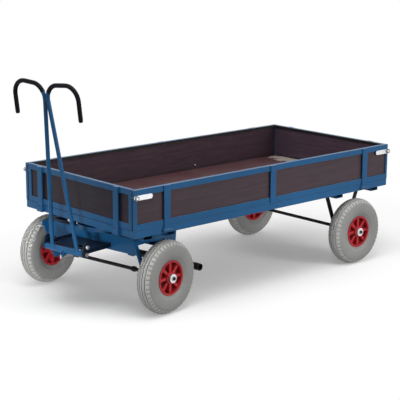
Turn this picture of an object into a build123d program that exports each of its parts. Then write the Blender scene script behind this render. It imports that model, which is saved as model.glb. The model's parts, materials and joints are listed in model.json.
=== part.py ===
from build123d import *
import os
from math import cos, radians, sin, sqrt, tan

# A hand-pulled platform truck: plywood deck and walls in a steel frame, a steered front bogie,
# a tube drawbar with two hook handles, a parking brake and four air-filled wheels.
# Frame: the origin is the centre of the deck's top face, +X points to the drawbar, +Z points up.

# Platform
platform_length = 2000.0
platform_width = 972.0
deck_height = 510.0
deck_thickness = 15.0
deck_edge_gap = 5.0
rail_height = 40.0
rail_width = 40.0
rail_wall = 3.0
cross_member_width = 30.0
cross_member_spacing = 420.0
cross_member_count = 3
carrier_width = 60.0
carrier_height = 25.0
carrier_wall = 3.0
carrier_inset = 18.0
front_carrier_offset = 79.0

# Walls
wall_height = 201.0
wall_proud = 1.0
wall_rest_gap = 1.0
corner_gap = 2.0
panel_thickness = 11.0
frame_wall = 6.0
top_rail_height = 31.0
top_lip_height = 15.0
bottom_rail_height = 32.0
side_stile_width = 16.0
end_post_width = 26.0
strap_width = 42.0
strap_thickness = 6.0
side_strap_inset = 216.0
stake_width = 40.0
stake_thickness = 11.0
stake_inset = 122.0
stake_reach = 30.0
pocket_wall = 4.0
pocket_height = 32.0
pocket_clearance = 1.0

# Hinges of the long walls
hinge_pin_radius = 4.0
hinge_barrel_radius = 8.0
hinge_drop = 23.0
hinge_face_gap = 0.8
lug_thickness = 6.0
lug_gap = 1.0
lug_root_height = 26.0
lug_root_depth = 1.0
hinge_pin_overhang = 2.0

# Latches
latch_reach = 95.0
latch_height = 26.0
latch_thickness = 5.0
latch_drop = 41.0
latch_gap = 1.0
spindle_radius = 5.0
spindle_head_radius = 12.0
spindle_head_height = 10.0

# Wheels
tyre_radius = 200.0
tyre_width = 100.0
tyre_wall = 8.0
tread_depth = 12.0
shoulder_radius = 184.0
shoulder_width = 82.0
sidewall_radius = 146.0
bead_width = 70.0
rim_radius = 95.0
rim_width = 78.0
rim_wall = 11.0
rim_web = 24.0
rim_boss_radius = 33.0
rim_rib_count = 8
rim_rib_thickness = 16.0
rim_rib_inset = 6.0
hub_radius = 25.0
hub_length = 112.0
axle_radius = 10.0
axle_overhang = 4.0
track = 900.0
front_axle_inset = 179.0
rear_axle_inset = 250.0
clip_radius = 14.0
clip_thickness = 3.0
spacer_radius = 15.0
collar_width = 20.0
collar_inset = 125.0
groove_width = 5.0
groove_depth = 5.0
groove_spacing = 16.0
groove_count = 4

# Axle brackets
bracket_inset = 105.0
bracket_thickness = 10.0
bracket_foot_half = 140.0
bracket_axle_half = 50.0
bracket_leg = 26.0
bracket_boss = 24.0
bracket_tie = 30.0
foot_length = 66.0
foot_width = 50.0
foot_thickness = 8.0

# Turntable and bogie
rest_steer = 8.0
ring_radius = 150.0
ring_bore = 104.0
ring_height = 24.0
ring_flange = 6.0
ball_pitch_radius = 134.0
ball_radius = 4.0
ball_count = 36
race_gap = 1.0
front_channel_x = 85.0
rear_channel_x = 130.0
channel_width = 40.0
channel_height = 90.0
channel_wall = 6.0

# Drawbar
rest_lean = 7.5
drawbar_swing = 82.5
pivot_x = 302.5
pivot_rise = 14.0
pivot_rod_radius = 10.0
pivot_rod_overhang = 4.0
pivot_collar_radius = 15.0
pivot_collar_length = 10.0
arm_y = 148.0
arm_thickness = 10.0
arm_end_radius = 19.0
arm_bar_height = 26.0
arm_bar_rise = 16.0
arm_side_gap = 2.0
tongue_thickness = 6.0
tongue_side_gap = 1.0
tongue_front_gap = 8.0
cross_tube_radius = 17.0
handle_tube_radius = 11.0
handle_tube_wall = 2.5
handle_foot_y = 95.4
handle_top_y = 3.6
handle_rise = 904.0
hook_rise = 18.0
hook_width = 231.1
hook_drop = 181.0
hook_inner_bend = 80.0
hook_outer_bend = 79.0
plug_length = 9.0
stop_bolt_rise = 52.0
stop_bolt_radius = 8.0
stop_ear_radius = 25.0
stop_washer_radius = 11.5
stop_washer_height = 4.0
stop_head_radius = 9.0
stop_head_height = 7.0
stop_reach = 18.0
stop_gap = 0.8

# Parking brake
brake_tube_radius = 20.0
brake_tube_wall = 3.0
brake_tube_overhang = 55.0
brake_tube_drop = 81.0
brake_swing = 20.0
brake_gap = 1.2
brake_arm_inset = 55.0
brake_plate = 8.0
brake_pivot_radius = 6.0
brake_eye_radius = 15.0
brake_sleeve_radius = 28.0
hanger_gap = 1.5
hanger_root_length = 20.0
rod_gap = 12.0
rod_pin_radius = 5.0
rod_eye_radius = 10.0
rod_thickness = 8.0
rod_height = 16.0
rod_side_gap = 1.5
lug_pin_reach = 30.0
lug_plate = 6.0
lug_end_radius = 9.0
fork_play = 1.5
fork_prong = 7.0
fork_lip = 1.0

# Clearances
running_clearance = 0.05
ball_clearance = 0.3

# Levels and places that follow from the sizes above
ground = -deck_height
axle_z = ground + tyre_radius
rail_top = -deck_thickness
rail_bottom = rail_top - rail_height
carrier_bottom = rail_bottom - carrier_height
ring_bottom = carrier_bottom - ring_height
channel_bottom = ring_bottom - channel_height
wall_bottom = rail_top + wall_rest_gap
wall_depth = panel_thickness + 2 * frame_wall
side_outer_y = platform_width / 2 + wall_proud
side_inner_y = side_outer_y - wall_depth
side_half_length = platform_length / 2 + wall_proud
side_strap_x = side_half_length - side_strap_inset
end_outer_x = side_half_length
end_inner_x = end_outer_x - wall_depth
end_half_width = side_inner_y - corner_gap
stake_y = end_half_width - stake_inset
deck_half_length = end_inner_x - deck_edge_gap
deck_half_width = side_inner_y - deck_edge_gap
hinge_y = platform_width / 2 + hinge_face_gap + hinge_barrel_radius
hinge_z = rail_top - hinge_drop
latch_x = side_half_length - side_stile_width / 2
latch_z = wall_height - latch_drop
front_axle_x = platform_length / 2 - front_axle_inset
rear_axle_x = rear_axle_inset - platform_length / 2
wheel_y = track / 2
hub_outer_y = wheel_y + hub_length / 2
axle_half_length = hub_outer_y + clip_thickness + axle_overhang
bracket_y = wheel_y - bracket_inset
collar_y = bracket_y - collar_inset
bracket_inner_y = bracket_y - bracket_thickness / 2
bracket_outer_y = bracket_y + bracket_thickness / 2
front_channel_face = front_channel_x + channel_width / 2
rear_channel_face = rear_channel_x + channel_width / 2
pivot_z = channel_bottom + pivot_rise
arm_inner_y = arm_y - arm_thickness / 2
arm_outer_y = arm_y + arm_thickness / 2
arm_bar_z = channel_bottom + arm_bar_rise + arm_bar_height / 2
cross_tube_half = arm_inner_y - arm_side_gap
stop_bolt_z = channel_bottom + stop_bolt_rise
handle_middle_x = pivot_x + (stop_bolt_z - pivot_z) * tan(radians(rest_lean))
handle_back_x = handle_middle_x - handle_tube_radius / cos(radians(rest_lean))
stop_bolt_x = handle_back_x - stop_gap - stop_bolt_radius
rod_z = channel_bottom - rod_gap - rod_height / 2
rod_lever = lug_pin_reach * sin(radians(drawbar_swing / 2)) / sin(radians(brake_swing / 2))
brake_pivot_z = rod_z + rod_lever * cos(radians(brake_swing / 2))
brake_tube_z = rod_z - brake_tube_drop
brake_tube_half_length = wheel_y + brake_tube_overhang
brake_arm_y = bracket_y - brake_arm_inset
brake_arm_length = (brake_pivot_z - brake_tube_z) / cos(radians(brake_swing / 2))
brake_reach = tyre_radius + brake_tube_radius + brake_gap
brake_tube_x = -sqrt(brake_reach**2 - (brake_tube_z - axle_z) ** 2)
brake_pivot_x = brake_tube_x - brake_arm_length * sin(radians(brake_swing / 2))
rod_pin_x = brake_pivot_x + rod_lever * sin(radians(brake_swing / 2))
lug_pin_x = pivot_x + lug_pin_reach * sin(radians(drawbar_swing / 2))
lug_pin_z = pivot_z - lug_pin_reach * cos(radians(drawbar_swing / 2))
fork_floor_z = lug_pin_z - lug_pin_reach * (1 - cos(radians(drawbar_swing / 2)))

# The chassis and the steered bogie each have a base plane: x forward, y to the left.
chassis = Plane.XY
bogie = Plane(
    origin=(front_axle_x, 0, 0),
    x_dir=(cos(radians(rest_steer)), sin(radians(rest_steer)), 0),
    z_dir=(0, 0, 1),
)


def side_of(base, x, y, z):
    """A sketch plane seen from the right: its x runs forward and its y runs up."""
    return Plane(base.from_local_coords((x, y, z)), x_dir=base.x_dir, z_dir=-base.y_dir)


def front_of(base, x, y, z):
    """A sketch plane seen from the front: its x runs to the left and its y runs up."""
    return Plane(base.from_local_coords((x, y, z)), x_dir=base.y_dir, z_dir=base.x_dir)


def top_of(base, x, y, z):
    """A sketch plane seen from above: its x runs forward and its y runs to the left."""
    return Plane(base.from_local_coords((x, y, z)), x_dir=base.x_dir, z_dir=base.z_dir)


def save(piece, name):
    piece.part.label = name
    export_step(piece.part, f"parts/{name}.step")


def perimeter_rail(corners):
    """One mitred rail of the chassis: a channel that opens inward."""
    with BuildPart() as rail:
        with BuildSketch(Plane.XY.offset(rail_bottom)):
            with BuildLine():
                Polyline(*corners, close=True)
            make_face()
        extrude(amount=rail_height)
        with BuildSketch(Plane.XY.offset(rail_bottom + rail_wall)):
            Rectangle(platform_length - 2 * rail_wall, platform_width - 2 * rail_wall)
        extrude(amount=rail_height - 2 * rail_wall, mode=Mode.SUBTRACT)
    return rail


def rings_along_y(base, x, z, outer, inner, spans):
    """Round sleeves on one cross axis, one for each (from, to) span of y."""
    with BuildPart() as sleeves:
        for start, end in spans:
            with BuildSketch(side_of(base, x, start, z)):
                Circle(outer)
                if inner:
                    Circle(inner, mode=Mode.SUBTRACT)
            extrude(amount=start - end)
    return sleeves


def both_sides(start, end):
    return [(start, end), (-end, -start)]


def axle_brackets(base, x, top_z, has_feet):
    """Left and right bracket: a splayed pair of legs with the axle's eye between their lower ends.

    The legs end in feet under the chassis, or are tied together at the top.
    """
    slope = (bracket_foot_half - bracket_axle_half) / (carrier_bottom - axle_z)
    top_half = bracket_axle_half + slope * (top_z - axle_z)
    eye_half = bracket_axle_half - slope * bracket_boss
    seat_half = bracket_axle_half + slope * bracket_boss
    half_leg = bracket_leg / 2
    height = top_z - axle_z
    foot_middle = top_half + (foot_length - bracket_leg) / 2
    with BuildPart() as brackets:
        for y in (bracket_y, -bracket_y):
            with BuildSketch(side_of(base, x, y, axle_z)):
                with BuildLine():
                    Polyline(
                        (top_half + half_leg, height),
                        (eye_half + half_leg, -bracket_boss),
                        (-eye_half - half_leg, -bracket_boss),
                        (-top_half - half_leg, height),
                        (-top_half + half_leg, height),
                        (-seat_half + half_leg, bracket_boss),
                        (seat_half - half_leg, bracket_boss),
                        (top_half - half_leg, height),
                        close=True,
                    )
                make_face()
                Circle(axle_radius + running_clearance, mode=Mode.SUBTRACT)
                if not has_feet:
                    with Locations((0, height - bracket_tie / 2)):
                        Rectangle(2 * top_half + bracket_leg, bracket_tie)
            extrude(amount=bracket_thickness / 2, both=True)
            if has_feet:
                with BuildSketch(top_of(base, x, y, top_z)):
                    with Locations((foot_middle, 0), (-foot_middle, 0)):
                        Rectangle(foot_length, foot_width)
                extrude(amount=-foot_thickness)
    return brackets


def wheel(base, x, y, corner):
    """A tyre, a rim and a hub that turn on the axle at the given place."""
    section = front_of(base, x, y, axle_z)
    spin = Axis(section.origin, base.y_dir)
    face = side_of(base, x, y, axle_z)
    half_bead = bead_width / 2
    half_tyre = tyre_width / 2
    half_shoulder = shoulder_width / 2
    inner_crown = tyre_radius - tread_depth
    inner_shoulder = shoulder_radius - tyre_wall
    with BuildPart() as tyre:
        with BuildSketch(section):
            with BuildLine():
                ThreePointArc(
                    (-half_bead, rim_radius),
                    (-half_tyre, sidewall_radius),
                    (-half_shoulder, shoulder_radius),
                )
                ThreePointArc(
                    (-half_shoulder, shoulder_radius),
                    (0, tyre_radius),
                    (half_shoulder, shoulder_radius),
                )
                ThreePointArc(
                    (half_shoulder, shoulder_radius),
                    (half_tyre, sidewall_radius),
                    (half_bead, rim_radius),
                )
                Line((half_bead, rim_radius), (half_bead - tyre_wall, rim_radius))
                ThreePointArc(
                    (half_bead - tyre_wall, rim_radius),
                    (half_tyre - tyre_wall, sidewall_radius),
                    (half_shoulder - tyre_wall, inner_shoulder),
                )
                ThreePointArc(
                    (half_shoulder - tyre_wall, inner_shoulder),
                    (0, inner_crown),
                    (tyre_wall - half_shoulder, inner_shoulder),
                )
                ThreePointArc(
                    (tyre_wall - half_shoulder, inner_shoulder),
                    (tyre_wall - half_tyre, sidewall_radius),
                    (tyre_wall - half_bead, rim_radius),
                )
                Line((tyre_wall - half_bead, rim_radius), (-half_bead, rim_radius))
            make_face()
        revolve(axis=spin)
        with BuildSketch(section):
            with Locations((0, tyre_radius)):
                with GridLocations(groove_spacing, 0, groove_count, 1):
                    Rectangle(groove_width, 2 * groove_depth)
        revolve(axis=spin, mode=Mode.SUBTRACT)
    save(tyre, f"tyre_{corner}")

    with BuildPart() as rim:
        with BuildSketch(face):
            Circle(rim_radius)
            Circle(rim_radius - rim_wall, mode=Mode.SUBTRACT)
        extrude(amount=rim_width / 2, both=True)
        with BuildSketch(face):
            Circle(rim_radius - rim_wall)
        extrude(amount=rim_web / 2, both=True)
        with BuildSketch(face):
            Circle(rim_boss_radius)
        extrude(amount=rim_width / 2, both=True)
        rib_length = rim_radius - rim_wall - hub_radius
        with BuildSketch(face):
            with PolarLocations(hub_radius + rib_length / 2, rim_rib_count):
                Rectangle(rib_length, rim_rib_thickness)
        extrude(amount=rim_width / 2 - rim_rib_inset, both=True)
        with BuildSketch(face):
            Circle(hub_radius)
        extrude(amount=rim_width, both=True, mode=Mode.SUBTRACT)
    save(rim, f"rim_{corner}")

    with BuildPart() as hub:
        with BuildSketch(face):
            Circle(hub_radius)
            Circle(axle_radius + running_clearance, mode=Mode.SUBTRACT)
        extrude(amount=hub_length / 2, both=True)
    save(hub, f"hub_{corner}")


def wall_frame(face, half_length, stile):
    """A wall's steel frame with a bed for its panel, and a lip over the panel's top edge on the inner side.

    The face plane lies on the frame's outer side.
    """
    height = wall_height - wall_bottom
    open_height = height - top_lip_height
    middle = (wall_height + wall_bottom) / 2
    window_height = height - top_rail_height - bottom_rail_height
    window_middle = wall_bottom + bottom_rail_height + window_height / 2
    with BuildPart() as frame:
        with BuildSketch(face):
            with Locations((0, middle)):
                Rectangle(2 * half_length, height)
            with Locations((0, window_middle)):
                Rectangle(2 * (half_length - stile), window_height, mode=Mode.SUBTRACT)
        extrude(amount=-wall_depth)
        with BuildSketch(face.offset(-frame_wall)):
            with Locations((0, middle)):
                Rectangle(2 * (half_length - frame_wall), height - 2 * frame_wall)
        extrude(amount=-panel_thickness, mode=Mode.SUBTRACT)
        with BuildSketch(face.offset(-frame_wall - panel_thickness)):
            with Locations((0, wall_bottom + open_height / 2)):
                Rectangle(2 * half_length, open_height)
        extrude(amount=-frame_wall, mode=Mode.SUBTRACT)
    return frame.part


def panel_board(face, half_length):
    """The plywood board that sits in a wall frame's bed."""
    with BuildPart() as board:
        with BuildSketch(face.offset(-frame_wall)):
            with Locations((0, (wall_height + wall_bottom) / 2)):
                Rectangle(2 * (half_length - frame_wall), wall_height - wall_bottom - 2 * frame_wall)
        extrude(amount=-panel_thickness)
    return board.part


def upright(face, along, width, low):
    """The outline of a strap on a wall's outer face, from the given level up to the wall's top."""
    with BuildSketch(face) as strap:
        with Locations((along, (wall_height + low) / 2)):
            Rectangle(width, wall_height - low)
    return strap.sketch


def spindle_holes(face):
    """The two holes for the latch spindles of a long wall."""
    with BuildSketch(face) as holes:
        with Locations((latch_x, latch_z), (-latch_x, latch_z)):
            Circle(spindle_radius + running_clearance)
    return holes.sketch


def plates(base, y_middles, thickness, outline):
    """Equal flat plates, square to the left; outline draws one of them."""
    with BuildPart() as group:
        for y in y_middles:
            with BuildSketch(side_of(base, 0, y, 0)):
                outline()
            extrude(amount=thickness / 2, both=True)
    return group


def handle_tube(side):
    """One handle: up from the cross tube, then over and down into a hook."""
    points = [
        (side * handle_foot_y, 0),
        (side * handle_top_y, handle_rise),
        (side * (handle_top_y + hook_width), handle_rise + hook_rise),
        (side * (handle_top_y + hook_width), handle_rise + hook_rise - hook_drop),
    ]
    with BuildPart() as tube:
        with BuildLine(drawbar) as route:
            FilletPolyline(*points, radius=[hook_inner_bend, hook_outer_bend])
        with BuildSketch(Plane(route.line @ 0, z_dir=route.line % 0)):
            Circle(handle_tube_radius)
            Circle(handle_tube_radius - handle_tube_wall, mode=Mode.SUBTRACT)
        sweep()
        with BuildSketch(side_of(bogie, pivot_x, 0, pivot_z)):
            Circle(cross_tube_radius)
        extrude(amount=cross_tube_half, both=True, mode=Mode.SUBTRACT)
    return tube


os.makedirs("parts", exist_ok=True)

# Chassis rails, mitred at the corners
half_l, half_w = platform_length / 2, platform_width / 2
for name, side in (("left", 1), ("right", -1)):
    corners = [
        (half_l, side * half_w),
        (-half_l, side * half_w),
        (rail_width - half_l, side * (half_w - rail_width)),
        (half_l - rail_width, side * (half_w - rail_width)),
    ]
    save(perimeter_rail(corners), f"side_rail_{name}")
for name, end in (("front", 1), ("rear", -1)):
    corners = [
        (end * half_l, half_w),
        (end * half_l, -half_w),
        (end * (half_l - rail_width), rail_width - half_w),
        (end * (half_l - rail_width), half_w - rail_width),
    ]
    save(perimeter_rail(corners), f"end_rail_{name}")

# Deck and the cross members under it
with BuildPart() as load_deck:
    with BuildSketch(Plane.XY):
        Rectangle(2 * deck_half_length, 2 * deck_half_width)
    extrude(amount=-deck_thickness)
save(load_deck, "load_deck")

with BuildPart() as cross_members:
    with BuildSketch(side_of(chassis, 0, 0, (rail_top + rail_bottom) / 2)):
        with GridLocations(cross_member_spacing, 0, cross_member_count, 1):
            Rectangle(cross_member_width, rail_height)
            with Locations((-rail_wall, 0)):
                Rectangle(cross_member_width, rail_height - 2 * rail_wall, mode=Mode.SUBTRACT)
    extrude(amount=half_w - rail_width, both=True)
save(cross_members, "cross_members")

# Carrier bars: two over the turntable, two over the rear axle brackets
front_carriers = (front_axle_x - front_carrier_offset, front_axle_x + front_carrier_offset)
rear_carrier_offset = bracket_foot_half + (foot_length - bracket_leg) / 2
rear_carriers = (rear_axle_x - rear_carrier_offset, rear_axle_x + rear_carrier_offset)
with BuildPart() as carrier_bars:
    for x in (*front_carriers, *rear_carriers):
        with BuildSketch(side_of(chassis, x, 0, rail_bottom - carrier_height / 2)):
            Rectangle(carrier_width, carrier_height)
            offset(amount=-carrier_wall, mode=Mode.SUBTRACT)
        extrude(amount=half_w - carrier_inset, both=True)
save(carrier_bars, "carrier_bars")

# Ball turntable
ring_plane = front_of(bogie, 0, 0, 0)
steer_axis = Axis(bogie.origin, (0, 0, 1))
race_z = (carrier_bottom + ring_bottom) / 2
outer_race = ball_pitch_radius + race_gap
inner_race = ball_pitch_radius - race_gap
with BuildPart() as upper_ring:
    with BuildSketch(ring_plane):
        with BuildLine():
            Polyline(
                (ring_bore, carrier_bottom),
                (ring_radius, carrier_bottom),
                (ring_radius, ring_bottom + ring_flange + race_gap),
                (outer_race, ring_bottom + ring_flange + race_gap),
                (outer_race, carrier_bottom - ring_flange),
                (ring_bore, carrier_bottom - ring_flange),
                close=True,
            )
        make_face()
        with Locations((ball_pitch_radius, race_z)):
            Circle(ball_radius + ball_clearance, mode=Mode.SUBTRACT)
    revolve(axis=steer_axis)
save(upper_ring, "turntable_upper_ring")

with BuildPart() as lower_ring:
    with BuildSketch(ring_plane):
        with BuildLine():
            Polyline(
                (ring_bore, ring_bottom),
                (ring_radius, ring_bottom),
                (ring_radius, ring_bottom + ring_flange),
                (inner_race, ring_bottom + ring_flange),
                (inner_race, carrier_bottom - ring_flange - race_gap),
                (ring_bore, carrier_bottom - ring_flange - race_gap),
                close=True,
            )
        make_face()
        with Locations((ball_pitch_radius, race_z)):
            Circle(ball_radius + running_clearance, mode=Mode.SUBTRACT)
    revolve(axis=steer_axis)
save(lower_ring, "turntable_lower_ring")

with BuildPart(top_of(bogie, 0, 0, race_z)) as balls:
    with PolarLocations(ball_pitch_radius, ball_count):
        Sphere(ball_radius)
save(balls, "turntable_balls")

# Axles with their brackets, spacers, clips and wheels; two spacers near the front axle's middle are collars
for name, base, x, top_z in (
    ("rear", chassis, rear_axle_x, carrier_bottom),
    ("front", bogie, 0, ring_bottom),
):
    save(axle_brackets(base, x, top_z, name == "rear"), f"{name}_axle_brackets")
    axle = rings_along_y(base, x, axle_z, axle_radius, 0, [(-axle_half_length, axle_half_length)])
    save(axle, f"{name}_axle")
    fitted = axle_radius + running_clearance
    spacer_spans = both_sides(bracket_outer_y, wheel_y - hub_length / 2 - running_clearance)
    if name == "front":
        spacer_spans += both_sides(collar_y - collar_width / 2, collar_y + collar_width / 2)
    save(rings_along_y(base, x, axle_z, spacer_radius, fitted, spacer_spans), f"{name}_axle_spacers")
    clip_start = hub_outer_y + running_clearance
    clip_spans = both_sides(clip_start, clip_start + clip_thickness)
    save(rings_along_y(base, x, axle_z, clip_radius, fitted, clip_spans), f"{name}_axle_clips")
    for side_name, side in (("left", 1), ("right", -1)):
        wheel(base, x, side * wheel_y, f"{name}_{side_name}")

# Bogie cross channels, open towards the middle
with BuildPart() as bogie_channels:
    for end, channel_x in ((1, front_channel_x), (-1, rear_channel_x)):
        with BuildSketch(side_of(bogie, end * channel_x, 0, ring_bottom - channel_height / 2)):
            Rectangle(channel_width, channel_height)
            with Locations((-end * channel_wall, 0)):
                Rectangle(channel_width, channel_height - 2 * channel_wall, mode=Mode.SUBTRACT)
        extrude(amount=bracket_inner_y, both=True)
save(bogie_channels, "bogie_channels")


# Drawbar arms: flat bars with an ear for the pivot and the stop bolt, and a tongue plate between them
def arm_outline():
    with Locations((pivot_x, pivot_z)):
        Circle(arm_end_radius)
    with Locations((stop_bolt_x, stop_bolt_z)):
        Circle(stop_ear_radius)
    make_hull()
    with Locations(((front_channel_face + stop_bolt_x) / 2, arm_bar_z)):
        Rectangle(stop_bolt_x - front_channel_face, arm_bar_height)
    with Locations((pivot_x, pivot_z)):
        Circle(pivot_rod_radius + running_clearance, mode=Mode.SUBTRACT)
    with Locations((stop_bolt_x, stop_bolt_z)):
        Circle(stop_bolt_radius + running_clearance, mode=Mode.SUBTRACT)


tongue_front = pivot_x - cross_tube_radius - tongue_front_gap
with BuildPart() as drawbar_arms:
    add(plates(bogie, (arm_y, -arm_y), arm_thickness, arm_outline).part)
    with BuildSketch(top_of(bogie, (front_channel_face + tongue_front) / 2, 0, arm_bar_z)):
        Rectangle(tongue_front - front_channel_face, 2 * (arm_inner_y - tongue_side_gap))
    extrude(amount=tongue_thickness / 2, both=True)
save(drawbar_arms, "drawbar_arms")

with BuildPart() as stop_bolts:
    for side in (1, -1):
        with BuildSketch(side_of(bogie, stop_bolt_x, side * arm_outer_y, stop_bolt_z)):
            Circle(stop_bolt_radius)
        extrude(amount=side * (arm_outer_y - handle_foot_y + stop_reach))
        with BuildSketch(side_of(bogie, stop_bolt_x, side * arm_outer_y, stop_bolt_z)):
            Circle(stop_washer_radius)
        extrude(amount=-side * stop_washer_height)
        with BuildSketch(side_of(bogie, stop_bolt_x, side * (arm_outer_y + stop_washer_height), stop_bolt_z)):
            RegularPolygon(stop_head_radius, 6)
        extrude(amount=-side * stop_head_height)
save(stop_bolts, "stop_bolts")

# Pivot rod with its end collars, and the cross tube that turns on it
rod_half = arm_outer_y + pivot_collar_length + pivot_rod_overhang
pivot_rod = rings_along_y(bogie, pivot_x, pivot_z, pivot_rod_radius, 0, [(-rod_half, rod_half)])
save(pivot_rod, "drawbar_pivot_rod")
collar_bore = pivot_rod_radius + running_clearance
collar_spans = both_sides(arm_outer_y, arm_outer_y + pivot_collar_length)
pivot_collars = rings_along_y(bogie, pivot_x, pivot_z, pivot_collar_radius, collar_bore, collar_spans)
save(pivot_collars, "pivot_collars")
cross_spans = [(-cross_tube_half, cross_tube_half)]
cross_tube = rings_along_y(bogie, pivot_x, pivot_z, cross_tube_radius, collar_bore, cross_spans)
save(cross_tube, "drawbar_cross_tube")

# Handle tubes in the leaning plane of the drawbar
drawbar = Plane(
    bogie.from_local_coords((pivot_x, 0, pivot_z)),
    x_dir=bogie.y_dir,
    z_dir=bogie.x_dir * cos(radians(rest_lean)) - bogie.z_dir * sin(radians(rest_lean)),
)
for name, side in (("left", 1), ("right", -1)):
    save(handle_tube(side), f"handle_tube_{name}")

with BuildPart() as plugs:
    hook_end = drawbar.from_local_coords((0, handle_rise + hook_rise - hook_drop, 0))
    with BuildSketch(Plane(hook_end, x_dir=drawbar.x_dir, z_dir=-drawbar.y_dir)):
        with Locations((handle_top_y + hook_width, 0), (-handle_top_y - hook_width, 0)):
            Circle(handle_tube_radius)
    extrude(amount=plug_length)
    lower_faces = plugs.faces().sort_by(Axis(drawbar.origin, drawbar.y_dir))[:2]
    fillet(lower_faces.edges(), plug_length / 2)
save(plugs, "handle_plugs")


# Parking brake: a tube behind the front tyres, hung on two arms and pushed by the drawbar
def hanger_outline():
    root = -rear_channel_face
    with Locations((root - hanger_root_length / 2, channel_bottom + channel_height / 2)):
        Rectangle(hanger_root_length, channel_height)
    with Locations((brake_pivot_x, brake_pivot_z)):
        Circle(brake_eye_radius)
    make_hull()


def brake_arm_outline():
    with Locations((brake_pivot_x, brake_pivot_z)):
        Circle(brake_eye_radius)
    with Locations((brake_tube_x, brake_tube_z)):
        Circle(brake_sleeve_radius)
    make_hull()
    with Locations((brake_pivot_x, brake_pivot_z)):
        Circle(brake_pivot_radius + running_clearance, mode=Mode.SUBTRACT)
    with Locations((brake_tube_x, brake_tube_z)):
        Circle(brake_tube_radius, mode=Mode.SUBTRACT)


def clevis_outline():
    with Locations((rod_pin_x, rod_z)):
        Circle(rod_eye_radius)
    with Locations((brake_tube_x, brake_tube_z)):
        Circle(brake_sleeve_radius)
    make_hull()
    with Locations((brake_tube_x, brake_tube_z)):
        Circle(brake_tube_radius, mode=Mode.SUBTRACT)


hanger_y = brake_arm_y + brake_plate + hanger_gap
with BuildPart() as brake_hangers:
    for side in (1, -1):
        with BuildSketch(side_of(bogie, 0, side * hanger_y, 0)):
            hanger_outline()
        extrude(amount=brake_plate / 2, both=True)
        with BuildSketch(side_of(bogie, brake_pivot_x, side * hanger_y, brake_pivot_z)):
            Circle(brake_pivot_radius)
        extrude(amount=side * (brake_plate * 2 + hanger_gap))
save(brake_hangers, "brake_hangers")

save(plates(bogie, (brake_arm_y, -brake_arm_y), brake_plate, brake_arm_outline), "brake_arms")

tube_span = [(-brake_tube_half_length, brake_tube_half_length)]
tube_bore = brake_tube_radius - brake_tube_wall
brake_tube = rings_along_y(bogie, brake_tube_x, brake_tube_z, brake_tube_radius, tube_bore, tube_span)
save(brake_tube, "brake_tube")

clevis_y = rod_thickness / 2 + rod_side_gap + brake_plate / 2
with BuildPart() as brake_clevis:
    for side in (1, -1):
        with BuildSketch(side_of(bogie, 0, side * clevis_y, 0)):
            clevis_outline()
        extrude(amount=brake_plate / 2, both=True)
    with BuildSketch(side_of(bogie, rod_pin_x, 0, rod_z)):
        Circle(rod_pin_radius)
    extrude(amount=clevis_y + brake_plate / 2, both=True)
save(brake_clevis, "brake_clevis")

# Push rod: an eye on the clevis pin, a bar, and a fork that takes the drawbar's lug pin
fork_half_slot = rod_pin_radius + fork_play
fork_width = 2 * (fork_half_slot + fork_prong)
fork_top = lug_pin_z + fork_lip
fork_bottom = min(rod_z - rod_height / 2, fork_floor_z - fork_half_slot - fork_prong)
fork_middle = (fork_top + fork_bottom) / 2
with BuildPart() as push_rod:
    with BuildSketch(side_of(bogie, 0, 0, 0)):
        with BuildLine():
            Line((rod_pin_x, rod_z), (lug_pin_x, rod_z))
        trace(line_width=rod_height)
        with Locations((rod_pin_x, rod_z)):
            Circle(rod_eye_radius)
        with Locations((lug_pin_x, fork_middle)):
            Rectangle(fork_width, fork_top - fork_bottom)
        with Locations((lug_pin_x, fork_floor_z)):
            Circle(fork_half_slot, mode=Mode.SUBTRACT)
        with Locations((lug_pin_x, fork_floor_z + fork_width / 2)):
            Rectangle(2 * fork_half_slot, fork_width, mode=Mode.SUBTRACT)
        with Locations((rod_pin_x, rod_z)):
            Circle(rod_pin_radius + running_clearance, mode=Mode.SUBTRACT)
    extrude(amount=rod_thickness / 2, both=True)
save(push_rod, "brake_push_rod")

# Brake lug on the cross tube, with the pin that works in the fork
lug_y = rod_thickness / 2 + rod_side_gap + lug_plate / 2
with BuildPart() as brake_lug:
    for side in (1, -1):
        with BuildSketch(side_of(bogie, 0, side * lug_y, 0)):
            with Locations((lug_pin_x, lug_pin_z)):
                Circle(lug_end_radius)
            with Locations((pivot_x, pivot_z)):
                Circle(cross_tube_radius)
            make_hull()
            with Locations((pivot_x, pivot_z)):
                Circle(cross_tube_radius, mode=Mode.SUBTRACT)
        extrude(amount=lug_plate / 2, both=True)
    with BuildSketch(side_of(bogie, lug_pin_x, 0, lug_pin_z)):
        Circle(rod_pin_radius)
    extrude(amount=lug_y + lug_plate / 2, both=True)
save(brake_lug, "brake_lug")

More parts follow.
